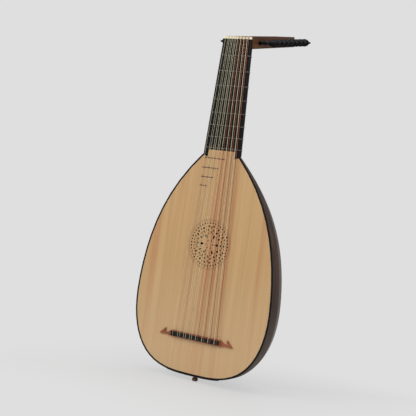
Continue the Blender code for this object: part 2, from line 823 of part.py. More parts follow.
def make_nut():
    nut = box(
        "nut",
        (-HALF_NUT, FACE_Y - NUT_PROUD, NUT_Z),
        (HALF_NUT, FINGERBOARD_BACK_Y, NUT_Z + NUT_LENGTH),
    )
    shape = bmesh.new()
    shape.from_mesh(nut.data)
    front_top = [
        edge
        for edge in shape.edges
        if all(v.co.y < FACE_Y and v.co.z > NUT_Z + NUT_LENGTH / 2 for v in edge.verts)
    ]
    bmesh.ops.bevel(shape, geom=front_top, offset=NUT_BEVEL, segments=2, affect="EDGES", profile=0.5)
    shape.to_mesh(nut.data)
    shape.free()
    return finish_piece(nut, BONE)


nut = make_nut()


# Pegbox: two cheeks with peg holes, and the back with its front block and end wall


def peg_height(along):
    """The pegs' axes lie half way down the cheeks."""
    return -pegbox_depth(along) / 2


RIGHT_PEGS = [FIRST_RIGHT_PEG + PEG_PITCH * index for index in range(PEG_COUNT_RIGHT)]
LEFT_PEGS = [FIRST_LEFT_PEG + PEG_PITCH * index for index in range(PEG_COUNT_LEFT)]


def pegbox_shape(name, side_outline, inner_x, outer_x):
    """A pegbox piece from an outline in (along, up), between two X given as functions of along."""
    rings = []
    for x_of in (inner_x, outer_x):
        rings.append([pegbox_point(x_of(along), along, up) for along, up in side_outline])
    return loft(name, rings)


def peg_hole(name, along, side):
    """A cutter for one peg's hole, wider where the peg is thicker."""
    inner = pegbox_half_width(along)
    reach = inner + 0.004
    thick = PEG_RADIUS + PEG_CLEARANCE
    thin = PEG_FOOT_RADIUS + PEG_CLEARANCE
    growth = (thick - thin) / (2 * inner)
    mesh = bpy.data.meshes.new(name)
    shape = bmesh.new()
    corner = math.cos(math.pi / PEG_HOLE_SIDES)
    bmesh.ops.create_cone(
        shape,
        cap_ends=True,
        segments=PEG_HOLE_SIDES,
        radius1=(thin - growth * (reach - inner)) / corner,
        radius2=(thick + growth * (reach - inner)) / corner,
        depth=2 * reach,
    )
    shape.to_mesh(mesh)
    shape.free()
    cutter = bpy.data.objects.new(name, mesh)
    cutter.rotation_euler = (0, side * math.pi / 2, 0)
    cutter.location = pegbox_point(0, along, peg_height(along))
    return make_cutter(cutter)


peg_holes = [peg_hole(f"right_peg_hole_{i + 1}", u, 1) for i, u in enumerate(RIGHT_PEGS)]
peg_holes += [peg_hole(f"left_peg_hole_{i + 1}", u, -1) for i, u in enumerate(LEFT_PEGS)]


def make_cheek(name, side):
    outline = [
        (0, 0),
        (PEGBOX_LENGTH, 0),
        (PEGBOX_LENGTH, -pegbox_depth(PEGBOX_LENGTH)),
        (0, -pegbox_depth(0)),
    ]
    cheek = pegbox_shape(
        name,
        outline,
        lambda along: side * (pegbox_half_width(along) - CHEEK_THICKNESS),
        lambda along: side * pegbox_half_width(along),
    )
    for hole in peg_holes:
        add_boolean(cheek, hole, "DIFFERENCE")
    return finish_piece(cheek, PEGBOX_WALNUT)


cheeks = [make_cheek("pegbox_cheek_left", -1), make_cheek("pegbox_cheek_right", 1)]


def neck_lap_end():
    """How far along the pegbox its underside lies over the neck's end."""
    neck_back_y = NECK_FRONT_Y + NECK_DEPTH_AT_NUT - FINGERBOARD_THICKNESS - TOUCH_GAP
    start_y = pegbox_point(0, 0, -pegbox_depth(0))[1]
    return (neck_back_y + NECK_LAP_CLEARANCE - start_y) / math.cos(TILT)


def make_pegbox_back():
    """The back plate; it stands a little clear of the neck, which carries the cheeks."""
    wall_start = PEGBOX_LENGTH - END_WALL_THICKNESS
    plate = PEGBOX_BACK_THICKNESS
    lap_end = neck_lap_end()
    outline = [
        (0, -FRONT_BLOCK_TOP_DROP),
        (FRONT_BLOCK_LENGTH, -FRONT_BLOCK_TOP_DROP),
        (FRONT_BLOCK_LENGTH, plate - pegbox_depth(FRONT_BLOCK_LENGTH)),
        (wall_start, plate - pegbox_depth(wall_start)),
        (wall_start, 0),
        (PEGBOX_LENGTH, 0),
        (PEGBOX_LENGTH, -pegbox_depth(PEGBOX_LENGTH)),
        (lap_end, -pegbox_depth(lap_end)),
        (lap_end, NECK_LAP_RELIEF - pegbox_depth(lap_end)),
        (0, NECK_LAP_RELIEF - pegbox_depth(0)),
    ]
    reach = CHEEK_THICKNESS + TOUCH_GAP
    back = pegbox_shape(
        "pegbox_back",
        outline,
        lambda along: reach - pegbox_half_width(along),
        lambda along: pegbox_half_width(along) - reach,
    )
    return finish_piece(back, PEGBOX_WALNUT)


pegbox_back = make_pegbox_back()


# Pegs: a tapering shaft, a collar and a flat thumb piece with a small end pip


def peg_rings(along):
    """Ring places along the peg's own +X, with half heights and half thicknesses.

    X is 0 at the outer face of the cheek that the head stands off.
    """
    width = 2 * pegbox_half_width(along)
    head = PEG_NECK_LENGTH + COLLAR_LENGTH + WAIST_LENGTH
    tip = head + HEAD_LENGTH
    half_width = HEAD_WIDTH / 2
    half_thick = HEAD_THICKNESS / 2
    return [
        (-width - PEG_FOOT_LENGTH, PEG_FOOT_RADIUS, PEG_FOOT_RADIUS),
        (0, PEG_RADIUS, PEG_RADIUS),
        (PEG_NECK_LENGTH, PEG_RADIUS * 0.92, PEG_RADIUS * 0.92),
        (PEG_NECK_LENGTH + COLLAR_LENGTH * 0.3, COLLAR_RADIUS, COLLAR_RADIUS),
        (PEG_NECK_LENGTH + COLLAR_LENGTH * 0.7, COLLAR_RADIUS, COLLAR_RADIUS),
        (head - WAIST_LENGTH * 0.5, WAIST_RADIUS, WAIST_RADIUS),
        (head + HEAD_LENGTH * 0.12, half_width * 0.62, half_thick * 0.85),
        (head + HEAD_LENGTH * 0.36, half_width * 0.94, half_thick),
        (head + HEAD_LENGTH * 0.62, half_width, half_thick),
        (head + HEAD_LENGTH * 0.86, half_width * 0.74, half_thick * 0.85),
        (tip, PIP_RADIUS * 0.8, PIP_RADIUS * 0.8),
        (tip + PIP_LENGTH * 0.55, PIP_RADIUS, PIP_RADIUS),
        (tip + PIP_LENGTH, PIP_RADIUS * 0.5, PIP_RADIUS * 0.5),
    ]


def make_peg(name, along, side):
    turns = (np.arange(PEG_SIDES) + 0.5) * 2 * math.pi / PEG_SIDES
    rings = []
    for x, half_height, half_thick in peg_rings(along):
        ring = np.stack(
            [np.full(PEG_SIDES, x), half_thick * np.cos(turns), half_height * np.sin(turns)],
            axis=1,
        )
        rings.append(ring)
    peg = loft(name, rings)
    peg.location = pegbox_point(side * pegbox_half_width(along), along, peg_height(along))
    turn = 0 if side > 0 else math.pi
    peg.rotation_euler = (TILT * side, 0, turn)
    return finish_piece(peg, PEG_EBONY)


right_pegs = [make_peg(f"peg_right_{i + 1}", u, 1) for i, u in enumerate(RIGHT_PEGS)]
left_pegs = [make_peg(f"peg_left_{i + 1}", u, -1) for i, u in enumerate(LEFT_PEGS)]


# Strings: one single course and seven pairs, from the bridge over the nut to the pegs


def string_places():
    """(x at the bridge, x at the nut) of each string, from the left of the soundboard."""
    places = [(-BRIDGE_STRING_SPREAD / 2, -NUT_STRING_SPREAD / 2)]
    bridge_first = -BRIDGE_STRING_SPREAD / 2
    bridge_last = (BRIDGE_STRING_SPREAD - BRIDGE_PAIR_GAP) / 2
    nut_first = -NUT_STRING_SPREAD / 2
    nut_last = (NUT_STRING_SPREAD - NUT_PAIR_GAP) / 2
    for course in range(1, COURSE_COUNT):
        share = course / (COURSE_COUNT - 1)
        bridge_x = bridge_first + (bridge_last - bridge_first) * share
        nut_x = nut_first + (nut_last - nut_first) * share
        for side in (-0.5, 0.5):
            places.append((bridge_x + side * BRIDGE_PAIR_GAP, nut_x + side * NUT_PAIR_GAP))
    return places


STRING_PLACES = string_places()
STRING_COUNT = len(STRING_PLACES)


def string_radius(index):
    """Strings grow thicker from the treble side to the bass side."""
    share = index / (STRING_COUNT - 1)
    return THINNEST_STRING_RADIUS + (THICKEST_STRING_RADIUS - THINNEST_STRING_RADIUS) * share


def string_peg(index):
    """Place along the pegbox of this string's peg: outer strings go to the nearest pegs."""
    if index < PEG_COUNT_LEFT:
        return LEFT_PEGS[index]
    return RIGHT_PEGS[STRING_COUNT - 1 - index]


def string_route(index):
    """The string's own points: bridge, round the nut's edge, and to the top of its peg."""
    bridge_x, nut_x = STRING_PLACES[index]
    radius = string_radius(index)
    off = radius + TOUCH_GAP
    along = string_peg(index)
    inner = pegbox_half_width(along) - CHEEK_THICKNESS
    room = inner / (HALF_NUT - CHEEK_THICKNESS)
    up = peg_height(along) + PEG_RADIUS + off + STRING_OVER_PEG
    peg_x = nut_x * room
    turn_angles = np.radians([0, 45, 90])
    turn_radius = (NUT_BEVEL + off) / math.cos(turn_angles[1] / 2)
    turn_y = FACE_Y - NUT_PROUD + NUT_BEVEL - turn_radius * np.cos(turn_angles)
    turn_z = NUT_Z + NUT_LENGTH - NUT_BEVEL + turn_radius * np.sin(turn_angles)
    return [
        (bridge_x, FACE_Y - STRING_HEIGHT_AT_BRIDGE, BRIDGE_LINE_Z),
        *[(nut_x, y, z) for y, z in zip(turn_y, turn_z)],
        pegbox_point(peg_x, along, up),
    ]


def make_string(index):
    names = ["string_1"]
    for course in range(2, COURSE_COUNT + 1):
        names += [f"string_{course}_a", f"string_{course}_b"]
    obj = tube(names[index], string_route(index), string_radius(index))
    copper = index > STRING_COUNT // 2 and index % 2 == 0
    return finish_piece(obj, COPPER_WOUND if copper else GUT)


strings = [make_string(index) for index in range(STRING_COUNT)]


# Tied frets: a gut loop round the neck and fingerboard, loose enough to slide


def make_tied_fret(number):
    z = BRIDGE_LINE_Z + fret_height(number)
    off = TIED_FRET_RADIUS + FRET_CLEARANCE
    half_width = neck_half_width(z) + off
    depth = neck_depth(z) - FINGERBOARD_THICKNESS - TOUCH_GAP + off
    points = [(half_width, FACE_Y - off, 0)]
    for angle in np.linspace(0, math.pi, NECK_SECTION_POINTS):
        chord = 1 / math.cos(math.pi / (NECK_SECTION_POINTS - 1) / 2)
        x = half_width * math.cos(angle) * (chord if 0 < angle < math.pi else 1)
        y = NECK_FRONT_Y + depth * math.sin(angle) * chord
        points.append((x, y, 0))
    points.append((-half_width, FACE_Y - off, 0))
    fret = tube(f"fret_{number}", points, TIED_FRET_RADIUS, cyclic=True)
    fret.location = (0, 0, z)
    return finish_piece(fret, FRET_GUT)


tied_frets = [make_tied_fret(number + 1) for number in range(TIED_FRET_COUNT)]


# Bridge: a block with two wings whose tips turn up, and a black cap


def bridge_plate_outline():
    """The bridge's footprint: the block's rectangle drawn out into the two wings."""
    half = BRIDGE_BODY_WIDTH / 2
    top = BRIDGE_LINE_Z
    low = BRIDGE_LINE_Z - BRIDGE_DEPTH
    end = BRIDGE_SPAN / 2
    reach = end - half
    waist_z = BRIDGE_LINE_Z - WING_DROP
    right = [
        (half, low),
        (half + reach * 0.4, waist_z - WING_WIDTH / 2),
        (end, waist_z - WING_WIDTH / 2 - 0.0005),
        (end, waist_z - WING_WIDTH / 4),
        (end - reach * 0.28, waist_z + HOOK_RISE * 0.55),
        (end - reach * 0.46, waist_z + HOOK_RISE),
        (end - reach * 0.52, waist_z + HOOK_RISE * 0.82),
        (end - reach * 0.40, waist_z + HOOK_RISE * 0.30),
        (half + reach * 0.52, waist_z + WING_WIDTH / 2),
        (half + reach * 0.25, waist_z + WING_WIDTH * 0.7),
        (half, top - 0.001),
        (half - 0.001, top),
    ]
    left = [(-x, z) for x, z in reversed(right)]
    return right + left


def make_bridge():
    seat_y = FACE_Y - TOUCH_GAP
    plate = flat_plate("bridge", [bridge_plate_outline()], seat_y - WING_THICKNESS, seat_y)
    half = BRIDGE_BODY_WIDTH / 2
    block = box(
        "bridge_block",
        (-half + 0.0008, seat_y - BRIDGE_BODY_HEIGHT, BRIDGE_LINE_Z - BRIDGE_DEPTH + 0.0006),
        (half - 0.0008, seat_y - WING_THICKNESS / 2, BRIDGE_LINE_Z - 0.0006),
    )
    add_boolean(plate, make_cutter(block), "UNION")
    return finish_piece(plate, BRIDGE_PEARWOOD)


bridge = make_bridge()


def make_bridge_cap():
    back_y = FACE_Y - 2 * TOUCH_GAP - BRIDGE_BODY_HEIGHT
    middle_z = BRIDGE_LINE_Z - BRIDGE_DEPTH / 2
    cap = box(
        "bridge_cap",
        (-CAP_WIDTH / 2, back_y - CAP_THICKNESS, middle_z - CAP_DEPTH / 2),
        (CAP_WIDTH / 2, back_y, middle_z + CAP_DEPTH / 2),
    )
    return finish_piece(cap, EBONY)


bridge_cap = make_bridge_cap()
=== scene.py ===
# %% [markdown]
# A renaissance lute is a light, hollow instrument: thin ribs bent into a bowl, a pierced
# soundboard, a short black neck with tied frets, and a pegbox that leans back from the nut.
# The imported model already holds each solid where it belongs. This lesson dresses it: smooth
# surfaces take the place of faceted ones, and every wood and string gets its own finish.

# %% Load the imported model
import json
import math

import bpy
import numpy as np
from mathutils import Matrix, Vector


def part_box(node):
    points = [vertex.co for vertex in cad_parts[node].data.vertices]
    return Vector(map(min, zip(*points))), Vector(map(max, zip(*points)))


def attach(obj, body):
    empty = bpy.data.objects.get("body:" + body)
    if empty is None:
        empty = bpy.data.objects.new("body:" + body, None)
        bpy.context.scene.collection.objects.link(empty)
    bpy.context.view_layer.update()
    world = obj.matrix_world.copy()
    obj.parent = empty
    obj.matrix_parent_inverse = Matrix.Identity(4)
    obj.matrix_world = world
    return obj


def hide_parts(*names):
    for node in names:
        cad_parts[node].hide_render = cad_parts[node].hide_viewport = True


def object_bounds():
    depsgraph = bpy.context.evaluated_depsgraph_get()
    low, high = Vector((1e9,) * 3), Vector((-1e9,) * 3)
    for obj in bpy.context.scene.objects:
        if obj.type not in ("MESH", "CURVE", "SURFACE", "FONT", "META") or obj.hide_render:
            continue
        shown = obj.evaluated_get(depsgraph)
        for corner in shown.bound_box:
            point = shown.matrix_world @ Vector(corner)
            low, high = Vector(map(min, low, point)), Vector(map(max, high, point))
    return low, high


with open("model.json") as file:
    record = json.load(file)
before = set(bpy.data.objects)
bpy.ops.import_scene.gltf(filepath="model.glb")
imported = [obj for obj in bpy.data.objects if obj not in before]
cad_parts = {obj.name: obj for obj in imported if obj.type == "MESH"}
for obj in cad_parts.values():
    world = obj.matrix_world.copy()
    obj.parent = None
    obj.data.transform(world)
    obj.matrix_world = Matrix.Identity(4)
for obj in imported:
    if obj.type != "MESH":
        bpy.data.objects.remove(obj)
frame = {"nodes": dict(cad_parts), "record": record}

cad_low, cad_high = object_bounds()
print("packed box", list(cad_low), list(cad_high))

# %% [markdown]
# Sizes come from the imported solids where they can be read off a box, so that a changed model
# still fits. The few that a box can't tell, such as how square the tail is, are named here
# with the values that shaped the bowl.

# %% Read the sizes
face_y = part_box("fingerboard")[0].y
edging_low, edging_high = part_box("soundboard_edging")
nut_low, nut_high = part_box("nut")
neck_low, neck_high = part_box("neck")
half_body = edging_high.x
tail_z = edging_low.z
joint_z = neck_low.z
string_length = 0.600
nut_z = nut_low.z
bridge_z = nut_z - string_length
widest_above_bridge = 0.067
widest_z = bridge_z + widest_above_bridge
half_joint = neck_high.x
bowl_depth = 0.154
joint_depth = neck_high.y - face_y
tail_squareness = 3.15
tail_roundness = 2.2
shoulder_power = 1.69
shoulder_droop = 0.49
rib_count = 9
edge_rib_angle = 13.0
rib_thickness = 0.0016
print("face", face_y, "joint", joint_z, "bridge line", bridge_z)

# %% [markdown]
# Every new piece is a grid of points worked out at once: rows run one way over the surface,
# columns the other. One helper turns a grid into a mesh, closing it round a tube and capping
# its ends. A thin wall is the same grid twice, the second moved inwards along its normals.

# %% Helpers that make meshes from grids


def grid_faces(rows, columns, around):
    """Quads of a grid, as an array of four corners each; around closes the columns."""
    row = np.arange(rows - 1)[:, None]
    column = np.arange(columns if around else columns - 1)[None, :]
    beside = (column + 1) % columns
    low = row * columns
    high = low + columns
    return np.stack([low + column, low + beside, high + beside, high + column], -1).reshape(-1, 4)


def mesh_object(name, points, faces, material, smooth_angle=40):
    """A mesh object from all points and faces at once, shaded smooth but for sharp edges."""
    mesh = bpy.data.meshes.new(name)
    mesh.from_pydata(np.asarray(points).reshape(-1, 3).tolist(), [], faces)
    mesh.validate()
    mesh.shade_smooth()
    mesh.set_sharp_from_angle(angle=math.radians(smooth_angle))
    mesh.materials.append(material)
    piece = bpy.data.objects.new(name, mesh)
    bpy.context.scene.collection.objects.link(piece)
    return piece


def volume_sign(points, faces):
    """Plus one where the faces of a closed mesh look outwards, minus one where they look in."""
    total = 0.0
    for corners in (faces[:, [0, 1, 2]], faces[:, [0, 2, 3]]):
        a, b, c = points[corners[:, 0]], points[corners[:, 1]], points[corners[:, 2]]
        total += np.einsum("ij,ij->i", a, np.cross(b, c)).sum()
    return 1 if total > 0 else -1


def round_solid(name, rings, material, smooth_angle=40):
    """A closed solid through rings of points, capped flat at both ends."""
    rings = np.asarray(rings, float)
    rows, columns = rings.shape[:2]
    points = rings.reshape(-1, 3)
    quads = grid_faces(rows, columns, around=True)
    caps = [list(range(columns))[::-1], list(range((rows - 1) * columns, rows * columns))]
    faces = quads.tolist() + caps
    if volume_sign(points - points.mean(0), quads) < 0:
        faces = [face[::-1] for face in faces]
    return mesh_object(name, points, faces, material, smooth_angle)


def grid_normals(grid):
    """Unit normals of a grid, from the cross product of its two directions."""
    normal = np.cross(np.gradient(grid, axis=0), np.gradient(grid, axis=1))
    return normal / np.linalg.norm(normal, axis=-1, keepdims=True)


def thin_shell(name, outer, thickness, inward_to, material):
    """A wall of even thickness: the outer grid, the same grid moved inwards, and a rim."""
    rows, columns = outer.shape[:2]
    normal = grid_normals(outer)
    middle = outer[rows // 2, columns // 2]
    if np.dot(normal[rows // 2, columns // 2], np.asarray(inward_to) - middle) > 0:
        normal = -normal
    inner = outer - normal * thickness
    points = np.concatenate([outer.reshape(-1, 3), inner.reshape(-1, 3)])
    outer_faces = grid_faces(rows, columns, around=False)
    offset = rows * columns
    inner_faces = outer_faces[:, ::-1] + offset
    bottom = np.arange(columns)
    top = bottom + (rows - 1) * columns
    left = np.arange(rows) * columns
    right = left + columns - 1
    rim = np.concatenate([bottom, right[1:], top[::-1][1:], left[::-1][1:-1]])
    after = np.roll(rim, -1)
    rim_faces = np.stack([rim, rim + offset, after + offset, after], -1)
    faces = np.concatenate([outer_faces, inner_faces, rim_faces])
    if volume_sign(points - points.mean(0), faces) < 0:
        faces = faces[:, ::-1]
    piece = mesh_object(name, points, faces.tolist(), material)
    across, along = np.meshgrid(np.linspace(0, 1, columns), np.linspace(0, 1, rows))
    place = np.stack([across, along], -1).reshape(-1, 2)
    add_places(piece, np.concatenate([place, place]))
    return piece


def add_places(piece, places):
    """A UV map from one (across, along) pair for each point."""
    mesh = piece.data
    corner_points = np.empty(len(mesh.loops), np.int32)
    mesh.loops.foreach_get("vertex_index", corner_points)
    layer = mesh.uv_layers.new(name="place")
    layer.data.foreach_set("uv", places[corner_points].astype(np.float32).ravel())


def tube(name, path, radius, material, sides=10, beside=(1, 0, 0), closed=False):
    """A round tube: a circle square to the path at each of its points."""
    path = np.asarray(path, float)
    if closed:
        tangent = np.roll(path, -1, axis=0) - np.roll(path, 1, axis=0)
    else:
        tangent = np.gradient(path, axis=0)
    tangent /= np.linalg.norm(tangent, axis=1, keepdims=True)
    up = np.cross(tangent, np.asarray(beside, float))
    up /= np.linalg.norm(up, axis=1, keepdims=True)
    side = np.cross(up, tangent)
    turn = np.linspace(0, 2 * math.pi, sides, endpoint=False)
    circle = np.cos(turn)[None, :, None] * side[:, None]
    circle = circle + np.sin(turn)[None, :, None] * up[:, None]
    rings = path[:, None] + np.broadcast_to(radius, (len(path),))[:, None, None] * circle
    if not closed:
        return round_solid(name, rings, material)
    rows = len(path)
    quads = grid_faces(rows, sides, around=True)
    last = (rows - 1) * sides
    near = np.arange(sides)
    beside_near = (near + 1) % sides
    seam = np.stack([last + near, last + beside_near, beside_near, near], -1)
    faces = np.concatenate([quads, seam])
    points = rings.reshape(-1, 3)
    if volume_sign(points, faces) < 0:
        faces = faces[:, ::-1]
    return mesh_object(name, points, faces.tolist(), material)


def dress(piece, slot, *nodes, body="lute"):
    """The piece stands for these nodes and rides on the body. The slot is not used."""
    if nodes:
        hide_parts(*nodes)
    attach(piece, body)
    return piece


print("helpers ready")

# %% [markdown]
# Wood is two things at once: a slow change of colour from board to board, and fine grain that
# runs one way. Both are noise stretched along the grain. Colours are written as they look on
# a screen, from 0 to 255, and turned into the linear values that the shader wants.

# %% Helpers for materials


def seen(red, green, blue):
    """Linear colour of a colour written as it looks on a screen."""
    share = np.array([red, green, blue]) / 255
    linear = np.where(share <= 0.04045, share / 12.92, ((share + 0.055) / 1.055) ** 2.4)
    return (*linear.tolist(), 1.0)


def start_material(name, roughness, coat=0.0, metallic=0.0):
    """A new material with its constant values on the shader's own sockets."""
    material = bpy.data.materials.new(name)
    material.use_nodes = True
    shader = material.node_tree.nodes["Principled BSDF"]
    shader.inputs["Roughness"].default_value = roughness
    shader.inputs["Metallic"].default_value = metallic
    shader.inputs["Coat Weight"].default_value = coat
    shader.inputs["Coat Roughness"].default_value = 0.12
    return material, shader


def add_node(material, kind, **values):
    """A node of that kind with the named inputs set."""
    node = material.node_tree.nodes.new(kind)
    for key, value in values.items():
        node.inputs[key.replace("_", " ")].default_value = value
    return node


def connect(material, source, target):
    material.node_tree.links.new(source, target)


def stretched_noise(material, scale, stretch, detail=4.0, roughness=0.55, turn=(0, 0, 0)):
    """Noise on the object's own coordinates, squeezed or drawn out along each axis."""
    place = material.node_tree.nodes.new("ShaderNodeTexCoord")
    mapping = add_node(material, "ShaderNodeMapping", Scale=stretch, Rotation=turn)
    noise = add_node(
        material, "ShaderNodeTexNoise", Scale=scale, Detail=detail, Roughness=roughness
    )
    connect(material, place.outputs["Object"], mapping.inputs["Vector"])
    connect(material, mapping.outputs["Vector"], noise.inputs["Vector"])
    return noise.outputs["Fac"]


def ramp(material, factor, stops):
    """A colour ramp: stops are (place, colour) pairs."""
    node = material.node_tree.nodes.new("ShaderNodeValToRGB")
    elements = node.color_ramp.elements
    elements[0].position, elements[0].color = stops[0]
    elements[1].position, elements[1].color = stops[-1]
    for place, colour in stops[1:-1]:
        elements.new(place).color = colour
    connect(material, factor, node.inputs["Fac"])
    return node.outputs["Color"]


def mix(material, factor, first, second, blend="MIX"):
    """Mixes two colours; a colour given as a tuple is set on the node itself."""
    node = material.node_tree.nodes.new("ShaderNodeMix")
    node.data_type = "RGBA"
    node.blend_type = blend
    for value, index in ((factor, 0), (first, 6), (second, 7)):
        if isinstance(value, (tuple, float, int)):
            node.inputs[index].default_value = value
        else:
            connect(material, value, node.inputs[index])
    return node.outputs[2]


def add_bump(material, shader, height, strength, distance):
    node = add_node(material, "ShaderNodeBump", Strength=strength, Distance=distance)
    connect(material, height, node.inputs["Height"])
    connect(material, node.outputs["Normal"], shader.inputs["Normal"])


def vary_roughness(material, shader, factor, low, high):
    node = material.node_tree.nodes.new("ShaderNodeMapRange")
    node.inputs["To Min"].default_value = low
    node.inputs["To Max"].default_value = high
    connect(material, factor, node.inputs["Value"])
    connect(material, node.outputs["Result"], shader.inputs["Roughness"])


def coordinate(material, axis, centre=0.0, width=1.0):
    """How far a point lies from a centre along one axis, 0 there and 1 at the width."""
    place = material.node_tree.nodes.new("ShaderNodeTexCoord")
    parts = material.node_tree.nodes.new("ShaderNodeSeparateXYZ")
    shift = material.node_tree.nodes.new("ShaderNodeMath")
    shift.operation = "SUBTRACT"
    shift.inputs[1].default_value = centre
    size = material.node_tree.nodes.new("ShaderNodeMath")
    size.operation = "ABSOLUTE"
    share = material.node_tree.nodes.new("ShaderNodeMath")
    share.operation = "DIVIDE"
    share.use_clamp = True
    share.inputs[1].default_value = width
    connect(material, place.outputs["Object"], parts.inputs["Vector"])
    connect(material, parts.outputs[axis], shift.inputs[0])
    connect(material, shift.outputs[0], size.inputs[0])
    connect(material, size.outputs[0], share.inputs[0])
    return share.outputs[0]


def plain_wood(name, dark, light, grain_axis, roughness, coat=0.1, fine=900, gloss=0.3):
    """A close-grained wood: streaks drawn out along one axis, and pores in the same direction."""
    material, shader = start_material(name, roughness, coat)
    shader.inputs["Specular IOR Level"].default_value = gloss
    slow = [1.0, 1.0, 1.0]
    slow["XYZ".index(grain_axis)] = 0.06
    streaks = stretched_noise(material, 90, slow, detail=6)
    pores = stretched_noise(material, fine, slow, detail=3)
    colour = ramp(material, streaks, [(0.3, dark), (0.7, light)])
    worn = mix(material, 0.35, colour, ramp(material, pores, [(0.35, dark), (0.6, light)]))
    connect(material, worn, shader.inputs["Base Color"])
    add_bump(material, shader, pores, 0.25, 0.0002)
    vary_roughness(material, shader, streaks, roughness * 0.8, roughness * 1.25)
    return material


def keep_solid(node_name, material):
    """The node keeps its own mesh and takes this finish in place of its plain one."""
    materials = frame["nodes"][node_name].data.materials
    materials.clear()
    materials.append(material)


print("material helpers ready")

# %% [markdown]
# The soundboard is quarter-sawn spruce. Its growth lines run straight up the board, close
# together, over soft reddish stripes that gather along the middle joint. Towards the tail it
# is painted paler, as painted light where the light falls on it.

# %% Soundboard finish
rose_above_bridge = 0.1836
rose_z = bridge_z + rose_above_bridge


def rose_distance(material):
    """Distance from the rose's middle, 0 there and 1 at ten centimetres."""
    place = material.node_tree.nodes.new("ShaderNodeTexCoord")
    shift = add_node(material, "ShaderNodeMapping", Location=(0, 0, -rose_z), Scale=(1, 0, 1))
    length = material.node_tree.nodes.new("ShaderNodeVectorMath")
    length.operation = "LENGTH"
    share = material.node_tree.nodes.new("ShaderNodeMath")
    share.operation = "DIVIDE"
    share.inputs[1].default_value = 0.1
    connect(material, place.outputs["Object"], shift.inputs["Vector"])
    connect(material, shift.outputs["Vector"], length.inputs[0])
    connect(material, length.outputs["Value"], share.inputs[0])
    return share.outputs[0]


def spruce_finish():
    material, shader = start_material("spruce_varnished", 0.5, coat=0.12)
    stripes = stretched_noise(material, 70, (1.0, 0.3, 0.018), detail=3, roughness=0.6)
    lines = stretched_noise(material, 650, (1.0, 0.3, 0.006), detail=2)
    colour = ramp(
        material,
        stripes,
        [(0.30, seen(203, 166, 114)), (0.54, seen(194, 154, 103)), (0.72, seen(187, 130, 84))],
    )
    reddish = mix(material, 0.5, colour, seen(196, 118, 70))
    middle = ramp(
        material,
        coordinate(material, "X", 0.0, 0.022),
        [(0.0, (0.7, 0.7, 0.7, 1)), (1.0, (0, 0, 0, 1))],
    )
    colour = mix(material, middle, colour, reddish)
    # Painted light: the colour is mixed towards a pale tone near the tail, standing in for the
    # light that falls there.
    painted_light_near_tail = ramp(
        material,
        coordinate(material, "Z", 0.0, 0.24),
        [(0.25, (0.55, 0.55, 0.55, 1)), (1.0, (0, 0, 0, 1))],
    )
    colour = mix(material, painted_light_near_tail, colour, seen(210, 180, 138))
    colour = mix(
        material,
        ramp(material, lines, [(0.35, (0.22, 0.22, 0.22, 1)), (0.62, (0, 0, 0, 1))]),
        colour,
        seen(166, 120, 78),
    )
    rim = ramp(
        material,
        rose_distance(material),
        [
            (0.0, (0, 0, 0, 1)),
            (0.468, (0, 0, 0, 1)),
            (0.478, (0.7, 0.7, 0.7, 1)),
            (0.488, (0.1, 0.1, 0.1, 1)),
            (0.500, (0.1, 0.1, 0.1, 1)),
            (0.508, (0.6, 0.6, 0.6, 1)),
            (0.518, (0, 0, 0, 1)),
        ],
    )
    colour = mix(material, rim, colour, seen(112, 76, 48))
    proud = ramp(
        material,
        coordinate(material, "Y", face_y + 0.004, 0.01),
        [(0.405, (0, 0, 0, 1)), (0.415, (1, 1, 1, 1))],
    )
    colour = mix(material, proud, colour, seen(82, 44, 36))
    connect(material, colour, shader.inputs["Base Color"])
    add_bump(material, shader, lines, 0.12, 0.0001)
    return material


spruce = spruce_finish()
keep_solid("soundboard", spruce)
print("soundboard", spruce.name)

# %% [markdown]
# The outline of the body is one curve: across the tail a superellipse, squarer than a circle,
# and above the widest line a long shoulder that falls to the neck. The bowl is half an ellipse
# over it at every height, so one function of height and angle gives the whole surface.

# %% The body's outline


def half_outline(low_turn, count_below, count_above):
    """Half widths and heights up one side of the body, from near the tail to the neck joint.

    Below the widest line: width = W sin(t)^(2/n) and drop = D cos(t)^(2/m). Above it the width
    falls by (1-b) s^a + b s^(2a), where s runs from 0 to 1 at the neck.
    """
    angle = np.linspace(low_turn, 1, count_below) * math.pi / 2
    low_x = half_body * np.sin(angle) ** (2 / tail_squareness)
    low_z = widest_z - (widest_z - tail_z) * np.abs(np.cos(angle)) ** (2 / tail_roundness)
    share = np.linspace(0, 1, count_above)[1:]
    bend = share**shoulder_power
    fall = (1 - shoulder_droop) * bend + shoulder_droop * bend**2
    high_x = half_body - (half_body - half_joint) * fall
    high_z = widest_z + (joint_z - widest_z) * share
    return np.concatenate([low_x, high_x]), np.concatenate([low_z, high_z])


def depth_ratio(z):
    """Bowl depth over half width: even over the body, less where it runs into the neck."""
    share = np.clip((z - widest_z) / (joint_z - widest_z), 0, 1)
    body = bowl_depth / half_body
    return body - (body - joint_depth / half_joint) * share**4


rows_below = 46
rows_above = 60
side_widths, side_heights = half_outline(0, rows_below, rows_above)
print("outline", len(side_heights), "heights, widest", round(side_widths.max(), 4))

# %% [markdown]
# Nine ribs cover the bowl: two narrow ones next to the soundboard and seven wider ones. Each
# was bent over an iron, so it is smooth along its length and nearly flat across. A rib here is
# the flat strip between two joint lines, eased a little towards the round bowl.

# %% Rib finish and ribs


